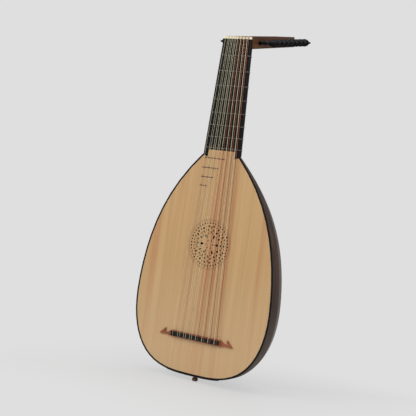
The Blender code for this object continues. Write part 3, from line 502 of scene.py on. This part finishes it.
def rib_finish():
    material, shader = start_material("rib_walnut_polished", 0.34, coat=0.03)
    shader.inputs["Specular IOR Level"].default_value = 0.16
    streaks = stretched_noise(material, 60, (1.0, 1.0, 0.05), detail=6)
    pores = stretched_noise(material, 800, (1.0, 1.0, 0.04), detail=2)
    colour = ramp(
        material,
        streaks,
        [(0.28, seen(38, 21, 9)), (0.5, seen(62, 37, 18)), (0.75, seen(96, 60, 32))],
    )
    colour = mix(
        material,
        ramp(material, pores, [(0.35, (0.5, 0.5, 0.5, 1)), (0.55, (0, 0, 0, 1))]),
        colour,
        seen(38, 24, 16),
    )
    across = material.node_tree.nodes.new("ShaderNodeUVMap")
    across.uv_map = "place"
    parts = material.node_tree.nodes.new("ShaderNodeSeparateXYZ")
    connect(material, across.outputs["UV"], parts.inputs["Vector"])
    seam = ramp(
        material,
        parts.outputs["X"],
        [
            (0.0, (1, 1, 1, 1)),
            (0.018, (0, 0, 0, 1)),
            (0.982, (0, 0, 0, 1)),
            (1.0, (1, 1, 1, 1)),
        ],
    )
    colour = mix(material, seam, colour, seen(104, 86, 66))
    connect(material, colour, shader.inputs["Base Color"])
    add_bump(material, shader, pores, 0.1, 0.0001)
    return material


rib_wood = rib_finish()
rib_angles = np.radians(
    np.concatenate([[0], np.linspace(edge_rib_angle, 180 - edge_rib_angle, rib_count - 1), [180]])
)
rib_start_width = 0.022
rib_roundness = 0.3
# Half the gap between two ribs, in radians round the bowl
rib_gap_angle = 0.0012
board_clearance = 0.0002


def bowl_strip(first_angle, last_angle, columns=9):
    """Grid of one rib: between the straight chord and the bowl's own round, at each height."""
    start_turn = math.asin((rib_start_width / half_body) ** (tail_squareness / 2)) * 2 / math.pi
    width, z = half_outline(start_turn, rows_below, rows_above)
    ratio = depth_ratio(z)
    share = np.linspace(0, 1, columns)
    angle = first_angle + (last_angle - first_angle) * share
    ends_x = width[:, None] * np.cos([first_angle, last_angle])
    ends_y = (width * ratio)[:, None] * np.sin([first_angle, last_angle])
    flat_x = ends_x[:, :1] + (ends_x[:, 1:] - ends_x[:, :1]) * share
    flat_y = ends_y[:, :1] + (ends_y[:, 1:] - ends_y[:, :1]) * share
    round_x = width[:, None] * np.cos(angle)
    round_y = (width * ratio)[:, None] * np.sin(angle)
    x = flat_x + (round_x - flat_x) * rib_roundness
    y = flat_y + (round_y - flat_y) * rib_roundness
    board_back = edging_high.y + board_clearance
    y = np.maximum(face_y + y, board_back)
    return np.stack([x, y, np.broadcast_to(z[:, None], x.shape)], -1)


# A point inside the bowl, to tell which side of a rib is its inner one
bowl_middle = (0, face_y + bowl_depth * 0.2, (widest_z + joint_z) / 2)
for number in range(rib_count):
    first, last = rib_angles[number], rib_angles[number + 1]
    strip = bowl_strip(first + rib_gap_angle, last - rib_gap_angle)
    rib = thin_shell(f"bent_rib_{number + 1}", strip, rib_thickness, bowl_middle, rib_wood)
    dress(rib, "rib_walnut", f"rib_{number + 1}")
print("ribs", rib_count)

# %% [markdown]
# The other solids already have the right shape for their size: the edging, the fingerboard,
# the cheeks of the pegbox, the nut, the bridge and its cap. They keep their meshes and get a
# finish of their own, with grain that runs the way the maker laid it.

# %% Finishes for the pieces that keep their solids
ebony = plain_wood("ebony_oiled", seen(6, 6, 7), seen(22, 21, 22), "Z", 0.45, coat=0.0, gloss=0.12)
edging_black = plain_wood(
    "edging_black_wood", seen(6, 8, 12), seen(20, 22, 28), "Z", 0.5, coat=0.0, gloss=0.12
)
cheek_walnut = plain_wood("cheek_walnut", seen(62, 34, 16), seen(112, 70, 40), "Y", 0.45)
clasp_walnut = plain_wood("clasp_walnut", seen(52, 33, 22), seen(88, 60, 42), "X", 0.36)
pear_wood = plain_wood("bridge_pear", seen(120, 62, 38), seen(164, 96, 62), "X", 0.42)
cap_ebony = plain_wood("cap_ebony", seen(8, 8, 9), seen(22, 20, 20), "X", 0.5, gloss=0.15)
pin_wood = plain_wood("pin_boxwood", seen(78, 52, 38), seen(120, 84, 62), "Z", 0.4)
block_wood = plain_wood("block_lime", seen(168, 138, 100), seen(200, 172, 132), "Z", 0.7, coat=0)
bone = plain_wood("nut_bone", seen(226, 214, 182), seen(246, 238, 212), "X", 0.35)
kept = {
    "soundboard_edging": edging_black,
    "fingerboard": ebony,
    "neck_block": block_wood,
    "nut": bone,
    "pegbox_cheek_left": cheek_walnut,
    "pegbox_cheek_right": cheek_walnut,
    "pegbox_back": cheek_walnut,
    "bridge": pear_wood,
    "bridge_cap": cap_ebony,
    "end_pin": pin_wood,
    "end_clasp": clasp_walnut,
}
for node_name, material in kept.items():
    keep_solid(node_name, material)
print("kept", len(kept), "solids")

# %% [markdown]
# The neck is carved round at the back and tapers towards the nut. Its section is half an
# ellipse, drawn here with many more points than the solid has, and it ends on a slant where
# the pegbox sits on it.

# %% Neck
neck_front = neck_low.y
half_nut = nut_high.x
pegbox_tilt = math.radians(11.3)
# How much more than the pegbox its underside slants, in radians
underside_slope = 0.0152
neck_thinning = 0.005


def neck_rings():
    """Rings of half ellipses up the neck; the last follows the pegbox's slanting underside."""
    turn = np.linspace(0, math.pi, 49)
    slant = math.tan(pegbox_tilt + underside_slope)
    rings = []
    shares = np.linspace(0, 1, 24)
    depth_low = neck_high.y - neck_front
    depth_high = depth_low - neck_thinning
    top_at_front = neck_high.z - slant * depth_high
    for share in shares:
        z = joint_z + (top_at_front - joint_z) * share
        along = (z - joint_z) / (nut_z - joint_z)
        half_width = half_joint + (half_nut - half_joint) * along
        depth = depth_low + (depth_high - depth_low) * along
        x = half_width * np.cos(turn)
        y = neck_front + depth * np.sin(turn)
        height = z + slant * (y - neck_front) * share
        rings.append(np.stack([x, y, height], -1))
    return np.array(rings)


neck_piece = round_solid("carved_neck", neck_rings(), ebony)
dress(neck_piece, "ebony", "neck")

# %% [markdown]
# A peg is turned, then its head is cut flat to be gripped. Along the peg its section goes from
# round to a flat oval and back to a small round tip. Each peg rides on its own body and turns
# about the middle of its shaft, so its solid's own place and length are read from the model.

# %% Pegs
peg_black = plain_wood(
    "peg_blackwood", seen(3, 3, 4), seen(13, 13, 15), "X", 0.36, coat=0.0, gloss=0.14
)
peg_joints = {
    joint["child"]: joint
    for joint in frame["record"]["behaviour"]["joints"]
    if joint["type"] == "hinge"
}
shaft_tip_radius = 0.0032
shaft_cheek_radius = 0.0038
# Distance from the cheek, half height and half thickness, in metres
peg_profile = np.array(
    [
        (0.0000, 0.00380, 0.00380),
        (0.0120, 0.00352, 0.00352),
        (0.0132, 0.00370, 0.00370),
        (0.0142, 0.00510, 0.00510),
        (0.0158, 0.00510, 0.00510),
        (0.0170, 0.00370, 0.00370),
        (0.0190, 0.00300, 0.00300),
        (0.0210, 0.00310, 0.00300),
        (0.0242, 0.00500, 0.00290),
        (0.0304, 0.00750, 0.00330),
        (0.0371, 0.00795, 0.00330),
        (0.0434, 0.00590, 0.00280),
        (0.0462, 0.00280, 0.00210),
        (0.0472, 0.00180, 0.00170),
        (0.0486, 0.00205, 0.00205),
        (0.0498, 0.00190, 0.00190),
        (0.0504, 0.00100, 0.00100),
    ]
)


def peg_rings(joint, length_inside):
    """Rings along the peg, on smooth curves through its profile, square to its own axis."""
    side = 1 if joint["pos_m"][0] > 0 else -1
    out = np.linspace(0, peg_profile[-1, 0], 72)
    half_height = np.interp(out, peg_profile[:, 0], peg_profile[:, 1])
    half_thick = np.interp(out, peg_profile[:, 0], peg_profile[:, 2])
    for values in (half_height, half_thick):
        values[1:-1] = (values[:-2] + 2 * values[1:-1] + values[2:]) / 4
    inside = np.linspace(-length_inside, 0, 8)[:-1]
    shaft = np.interp(inside, [-length_inside, 0], [shaft_tip_radius, shaft_cheek_radius])
    out = np.concatenate([inside, out])
    half_height = np.concatenate([shaft, half_height])
    half_thick = np.concatenate([shaft, half_thick])
    turn = np.linspace(0, 2 * math.pi, 20, endpoint=False)
    up = np.array([0, -math.sin(pegbox_tilt), math.cos(pegbox_tilt)])
    back = np.array([0, math.cos(pegbox_tilt), math.sin(pegbox_tilt)])
    centre = np.array(joint["pos_m"]) + np.outer(out * side, [1, 0, 0])
    ring = (half_thick[:, None] * np.cos(turn))[..., None] * back
    ring += (half_height[:, None] * np.sin(turn))[..., None] * up
    return centre[:, None] + ring


for peg_name, joint in peg_joints.items():
    low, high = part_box(peg_name)
    outer_end = max(abs(low.x), abs(high.x))
    inside = (high.x - low.x) - (outer_end - abs(joint["pos_m"][0]))
    peg = round_solid("turned_" + peg_name, peg_rings(joint, inside), peg_black)
    dress(peg, "peg_ebony", peg_name, body=peg_name)
print("pegs", len(peg_joints))

# %% [markdown]
# Gut strings are pale and a little glassy; one string of each bass pair is wound with copper
# wire, which shows as fine ridges. The frets are gut too, of a greyer kind.

# %% String finishes


def gut_finish(name, dark, light):
    material, shader = start_material(name, 0.32, coat=0.2)
    twist = stretched_noise(material, 500, (1, 1, 0.2), detail=2)
    colour = ramp(material, twist, [(0.3, dark), (0.7, light)])
    connect(material, colour, shader.inputs["Base Color"])
    add_bump(material, shader, twist, 0.2, 0.0001)
    return material


def wound_finish():
    material, shader = start_material("string_copper", 0.38, metallic=0.65)
    place = material.node_tree.nodes.new("ShaderNodeTexCoord")
    wave = add_node(material, "ShaderNodeTexWave", Scale=900.0)
    wave.bands_direction = "Z"
    connect(material, place.outputs["Object"], wave.inputs["Vector"])
    colour = ramp(
        material, wave.outputs["Fac"], [(0.2, seen(120, 62, 46)), (0.8, seen(188, 110, 84))]
    )
    connect(material, colour, shader.inputs["Base Color"])
    add_bump(material, shader, wave.outputs["Fac"], 0.5, 0.0002)
    return material


gut = gut_finish("string_gut", seen(190, 182, 146), seen(224, 214, 178))
copper = wound_finish()
fret_gut = gut_finish("fret_gut", seen(92, 92, 84), seen(128, 126, 114))
print("string finishes", gut.name, copper.name, fret_gut.name)

# %% [markdown]
# Each string runs from the bridge to the nut in a straight line, bends over the nut's edge and
# drops to its peg, where a few turns hold it. The turns belong to the peg and ride on it. A
# wire's points are taken by height, four at a time. The lowest peg lies as high as the nut,
# which mixes the points there, so the last bass string is drawn short of its peg.

# %% Strings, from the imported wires
string_names = ["string_1"] + [f"string_{n}_{s}" for n in range(2, 9) for s in "ab"]


def wire_route(name):
    """Middle points of a packed wire, from its points by height, four at a time."""
    mesh = frame["nodes"][name].data
    co = np.empty(len(mesh.vertices) * 3)
    mesh.vertices.foreach_get("co", co)
    points = np.unique(np.round(co.reshape(-1, 3), 7), axis=0)
    order = np.argsort(points[:, 2])
    rings = points[order][: 4 * (len(points) // 4)].reshape(-1, 4, 3)
    return rings.mean(axis=1), rings


first_wound = 8
# A loop lies on the cap by this share of its radius, and starts this high over its foot
loop_lift = 0.3
loop_foot = 0.0004
box_margin = 0.00001
# Radius that the turns lie on, and their pitch in radii of the string
winding_radius = 0.0036
winding_pitch = 2.15
cap_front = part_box("bridge_cap")[0].y
cap_low, cap_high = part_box("bridge_cap")[0].z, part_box("bridge_cap")[1].z


def peg_distance(peg, point):
    """Distance from a point to a peg's axis, seen along X."""
    axis = peg_joints[peg]["pos_m"]
    return math.hypot(axis[1] - point[1], axis[2] - point[2])


def winding_path(joint, start_x, side, radius, turns=5):
    """A helix about a peg: angle grows evenly with the way along it."""
    turn = np.linspace(0, turns * 2 * math.pi, turns * 24)
    reach = winding_radius + radius
    along = start_x + side * turn / (2 * math.pi) * radius * winding_pitch
    centre = np.array(joint["pos_m"])
    return np.stack(
        [along, centre[1] + reach * np.sin(turn), centre[2] + reach * np.cos(turn)], -1
    )


for index, name in enumerate(string_names):
    route, rings = wire_route(name)
    radius = np.linalg.norm(rings[0] - route[0], axis=1).mean()
    wound = index >= first_wound and index % 2 == 0
    start, end = route[0], route[-1]
    nut_front = route[1]
    nut_top = route[-2]
    loop_y = max(cap_front - loop_lift * radius, cad_low[1] + radius + box_margin)
    loop_end = (start[0], loop_y, cap_low + loop_foot)
    loop_top = (start[0], loop_y, cap_high)
    loop = np.array([loop_end, loop_top])
    straight = start + (nut_front - start) * np.linspace(0, 1, 12)[:, None]
    turn = np.linspace(0, 1, 6)[1:, None]
    bend = (1 - turn) ** 2 * nut_front + 2 * turn * (1 - turn) * route[2] + turn**2 * nut_top
    drop = nut_top + (end - nut_top) * np.linspace(0, 1, 6)[1:, None]
    path = np.concatenate([loop, straight, bend, drop])
    piece = tube("drawn_" + name, path, radius, copper if wound else gut, sides=10)
    dress(piece, "copper_wound" if wound else "gut", name)
    peg_name = min(peg_joints, key=lambda peg: peg_distance(peg, end))
    side = 1 if end[0] < 0 else -1
    turns = tube(
        "turns_of_" + name,
        winding_path(peg_joints[peg_name], end[0], side, radius),
        radius,
        copper if wound else gut,
        sides=8,
        beside=(1, 0, 0),
    )
    dress(turns, "copper_wound" if wound else "gut", body=peg_name)
print("strings", len(string_names))

# %% [markdown]
# The frets are lengths of gut tied round the neck. One loop goes over the fingerboard, round
# the back, and can be pushed along the neck to tune a key, so each rides on its own body.

# %% Tied frets
fret_count = 8
# Sizes of a knot and how far in it sits, in radii of its gut, and its point on the path
knot_width = 2.0
knot_length = 2.6
knot_inset = 1.2
knot_flatness = 0.9
knot_point = 38


def fret_path(name):
    """A closed path round the neck: over the board, and back in a rounded sweep behind it."""
    low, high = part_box(name)
    radius = (high.z - low.z) / 2
    half = high.x - radius
    front = low.y + radius
    back = high.y - radius
    turn = np.linspace(0, math.pi, 41)
    sweep = np.stack([half * np.cos(turn), neck_front + (back - neck_front) * np.sin(turn)], -1)
    over = np.stack([np.linspace(-half, half, 24), np.full(24, front)], -1)
    flat = np.concatenate([sweep, over])
    height = np.full((len(flat), 1), (low.z + high.z) / 2)
    return np.concatenate([flat, height], axis=1), radius


def knot_solid(name, path, radius):
    """A small rounded knot at the treble edge: circles whose radius follows a half circle."""
    middle = path[knot_point]
    share = np.linspace(-0.97, 0.97, 9)
    wide = np.sqrt(1 - share**2) * knot_width * radius
    turn = np.linspace(0, 2 * math.pi, 12, endpoint=False)
    x = middle[0] - knot_inset * radius + wide[:, None] * np.cos(turn)
    y = middle[1] + knot_length * radius * share[:, None] + 0 * turn
    z = middle[2] + knot_flatness * wide[:, None] * np.sin(turn)
    return round_solid(name, np.stack([x, y, z], -1), fret_gut)


for number in range(1, fret_count + 1):
    path, radius = fret_path(f"fret_{number}")
    loop = tube(
        f"tied_fret_{number}", path, radius, fret_gut, sides=8, beside=(0, 0, 1), closed=True
    )
    dress(loop, "fret_gut", f"fret_{number}", body=f"fret_{number}")
    knot = knot_solid(f"fret_knot_{number}", path, radius)
    dress(knot, "fret_gut", body=f"fret_{number}")
print("tied frets", fret_count)

# %% [markdown]
# The picture is taken with a long lens from a little below the middle of the lute and well to
# its right. The camera's place and its three directions are those that put the body's outline,
# the frets and the pegbox where the picture has them; the camera leans by eight degrees.

# %% Camera
camera_place = (1.2139, -1.8665, 0.3627)
camera_right = (0.82477, 0.54860, 0.13711)
camera_up = (-0.11731, -0.07119, 0.99054)
camera_back = (0.55317, -0.83305, 0.00564)
focal_share = 1101.72 / 416
camera_data = bpy.data.cameras.new("picture_camera")
camera_data.sensor_width = 36.0
camera_data.lens = camera_data.sensor_width * focal_share
camera = bpy.data.objects.new("picture_camera", camera_data)
bpy.context.scene.collection.objects.link(camera)
axes = Matrix((camera_right, camera_up, camera_back)).transposed()
camera.matrix_world = Matrix.Translation(camera_place) @ axes.to_4x4()
bpy.context.scene.camera = camera
print("lens", round(camera_data.lens, 2), "mm")

# %% [markdown]
# The lute stands on a pale floor under broad, soft lamps. The camera sees an even light grey
# behind it: that is set for camera rays only, so it doesn't add light to the object. Close to
# the lute the floor still takes its shadow, and the grey takes over further out.

# %% Floor, world and lamps
backdrop_grey = seen(223, 223, 223)


def floor_finish():
    material, shader = start_material("pale_floor", 0.45)
    shader.inputs["Base Color"].default_value = (0.72, 0.72, 0.72, 1)
    tree = material.node_tree
    glow = add_node(material, "ShaderNodeEmission", Color=backdrop_grey, Strength=1.0)
    rays = tree.nodes.new("ShaderNodeLightPath")
    distance = coordinate(material, "X", 0.0, 0.9)
    distance_y = coordinate(material, "Y", 0.05, 0.9)
    farther = tree.nodes.new("ShaderNodeMath")
    farther.operation = "MAXIMUM"
    connect(material, distance, farther.inputs[0])
    connect(material, distance_y, farther.inputs[1])
    spread = tree.nodes.new("ShaderNodeMapRange")
    spread.inputs["From Min"].default_value = 0.12
    spread.inputs["From Max"].default_value = 0.5
    spread.inputs["To Min"].default_value = 0.72
    spread.inputs["To Max"].default_value = 1.0
    connect(material, farther.outputs[0], spread.inputs["Value"])
    seen_by_camera = tree.nodes.new("ShaderNodeMath")
    seen_by_camera.operation = "MULTIPLY"
    connect(material, rays.outputs["Is Camera Ray"], seen_by_camera.inputs[0])
    connect(material, spread.outputs["Result"], seen_by_camera.inputs[1])
    blend = tree.nodes.new("ShaderNodeMixShader")
    connect(material, seen_by_camera.outputs[0], blend.inputs["Fac"])
    connect(material, shader.outputs["BSDF"], blend.inputs[1])
    connect(material, glow.outputs["Emission"], blend.inputs[2])
    connect(material, blend.outputs["Shader"], tree.nodes["Material Output"].inputs["Surface"])
    return material


floor_size = 12.0
corners = np.array([(-1, -1, 0), (1, -1, 0), (1, 1, 0), (-1, 1, 0)]) * floor_size / 2
floor = mesh_object("pale_floor", corners, [[0, 1, 2, 3]], floor_finish())

world = bpy.data.worlds.new("studio")
bpy.context.scene.world = world
world.use_nodes = True
sky = world.node_tree
light = sky.nodes["Background"]
light.inputs["Color"].default_value = (1, 1, 1, 1)
light.inputs["Strength"].default_value = 0.42
screen = sky.nodes.new("ShaderNodeBackground")
screen.inputs["Color"].default_value = backdrop_grey
rays = sky.nodes.new("ShaderNodeLightPath")
choose = sky.nodes.new("ShaderNodeMixShader")
sky.links.new(rays.outputs["Is Camera Ray"], choose.inputs["Fac"])
sky.links.new(light.outputs["Background"], choose.inputs[1])
sky.links.new(screen.outputs["Background"], choose.inputs[2])
sky.links.new(choose.outputs["Shader"], sky.nodes["World Output"].inputs["Surface"])


def soft_lamp(name, place, target, size, power):
    """A square area lamp that faces a target."""
    data = bpy.data.lights.new(name, "AREA")
    data.size = size
    data.energy = power
    lamp = bpy.data.objects.new(name, data)
    bpy.context.scene.collection.objects.link(lamp)
    away = Matrix.Translation(place).translation - Matrix.Translation(target).translation
    lamp.rotation_euler = away.to_track_quat("Z", "Y").to_euler()
    lamp.location = place
    return lamp


body_middle = (0, 0.05, 0.35)
soft_lamp("key_lamp", (-1.2, -2.2, 1.9), body_middle, 1.8, 42)
soft_lamp("fill_lamp", (2.2, -1.2, 1.2), body_middle, 1.6, 14)
soft_lamp("top_lamp", (0.2, 0.6, 2.4), body_middle, 1.6, 14)
bpy.context.scene.view_settings.view_transform = "Standard"
print("lamps and floor ready")
